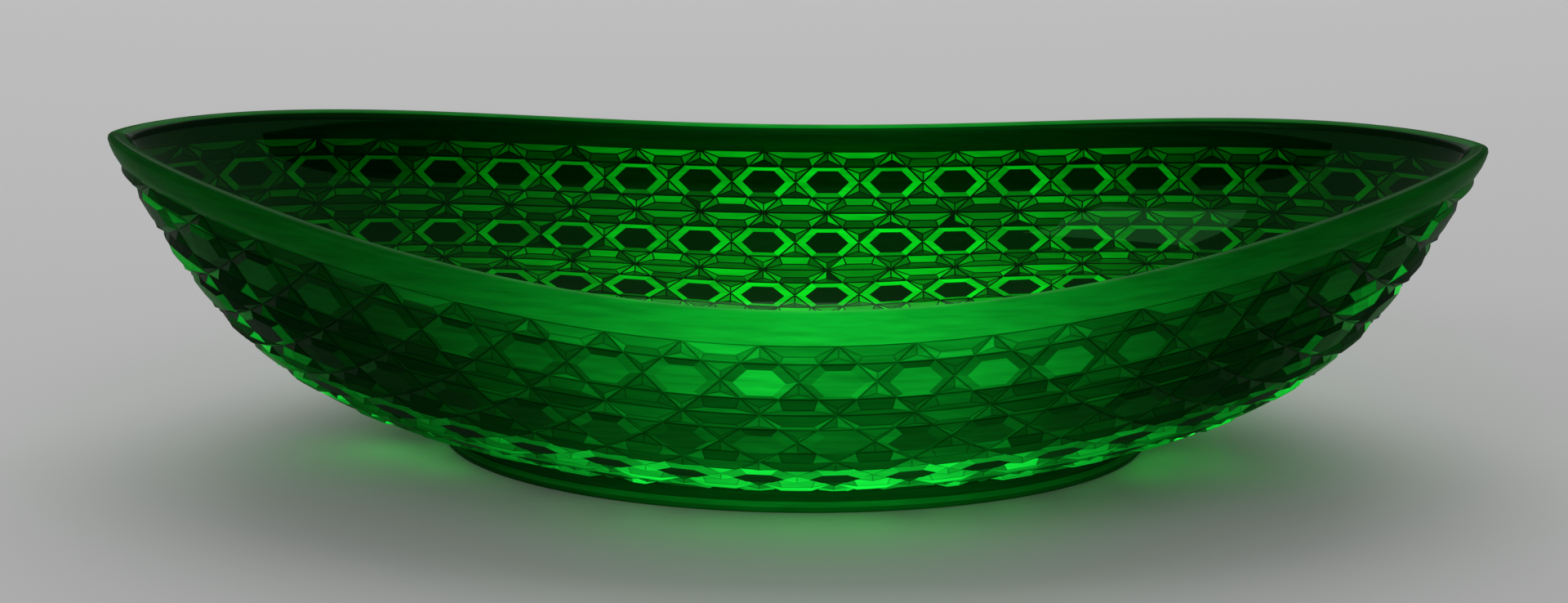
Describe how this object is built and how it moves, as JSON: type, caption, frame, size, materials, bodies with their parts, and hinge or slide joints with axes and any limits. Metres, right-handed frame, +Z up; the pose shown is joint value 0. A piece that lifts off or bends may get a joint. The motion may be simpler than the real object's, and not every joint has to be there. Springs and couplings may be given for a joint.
{
  "type": "pressed glass dish",
  "caption": "Boat-shaped pressed uranium glass dish with pointed raised ends, a hexagon and star button pattern outside, a plain rim band and a low oval foot ring.",
  "frame": {"origin": "on the resting plane, under the middle of the foot", "axes": "+X along the dish from tip to tip, +Y across it, +Z up out of the bowl"},
  "size_m": [0.2786, 0.1438, 0.0631],
  "materials": {
    "rim_glass": "fire-polished green uranium glass",
    "faceted_glass": "pressed green uranium glass with sharp facets outside, smooth inside",
    "floor_glass": "smooth pressed green uranium glass",
    "foot_glass": "smooth pressed green uranium glass, ground flat underneath"
  },
  "bodies": {
    "root": {"rim_band": "rim_glass", "patterned_wall": "faceted_glass", "bowl_floor": "floor_glass", "foot_ring": "foot_glass"}
  },
  "joints": []
}
